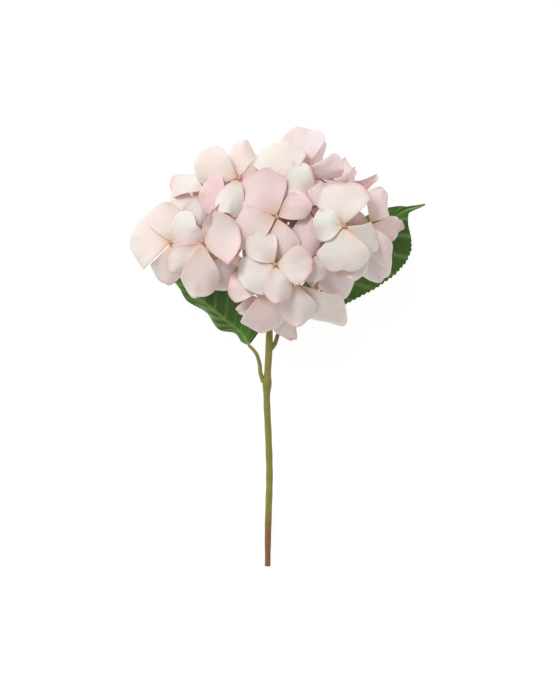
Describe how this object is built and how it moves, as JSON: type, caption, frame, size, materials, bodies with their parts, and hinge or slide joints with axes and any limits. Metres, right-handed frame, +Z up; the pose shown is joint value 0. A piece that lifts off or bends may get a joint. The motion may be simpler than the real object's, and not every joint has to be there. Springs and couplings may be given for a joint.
{
  "type": "cut hydrangea",
  "caption": "Cut mophead hydrangea stem lying on its back: a dome of pale pink four-petalled florets on short stalks, toothed leaves behind the head and a long bare stem",
  "frame": {"origin": "on the table, below the middle of the bounding box", "axes": "+Y up the stem to the flower head, +X to the right seen from above, +Z up from the table"},
  "size_m": [0.2344, 0.3486, 0.1195],
  "materials": {
    "petal": "soft, matt, pale pink to cream",
    "leaf": "glossy dark green with pale veins",
    "stalk": "satin green",
    "stem": "satin olive green, brown at the cut end"
  },
  "bodies": {
    "root": {"branch_back": "stalk", "branch_front": "stalk", "branch_left": "stalk", "branch_right": "stalk", "branch_top": "stalk", "branch_upper_left": "stalk", "branch_upper_right": "stalk", "floret_01": "petal", "floret_02": "petal", "floret_03": "petal", "floret_04": "petal", "floret_05": "petal", "floret_06": "petal", "floret_07": "petal", "floret_08": "petal", "floret_09": "petal", "floret_10": "petal", "floret_11": "petal", "floret_12": "petal", "floret_13": "petal", "floret_14": "petal", "floret_15": "petal", "floret_16": "petal", "floret_17": "petal", "floret_18": "petal", "floret_19": "petal", "floret_20": "petal", "floret_21": "petal", "floret_22": "petal", "floret_23": "petal", "floret_24": "petal", "floret_25": "petal", "floret_26": "petal", "floret_27": "petal", "floret_29": "petal", "floret_30": "petal", "floret_31": "petal", "floret_32": "petal", "floret_33": "petal", "floret_34": "petal", "floret_35": "petal", "floret_36": "petal", "floret_37": "petal", "leaf_left": "leaf", "leaf_right": "leaf", "petiole_left": "stalk", "petiole_right": "stalk", "stem": "stem"}
  },
  "joints": []
}
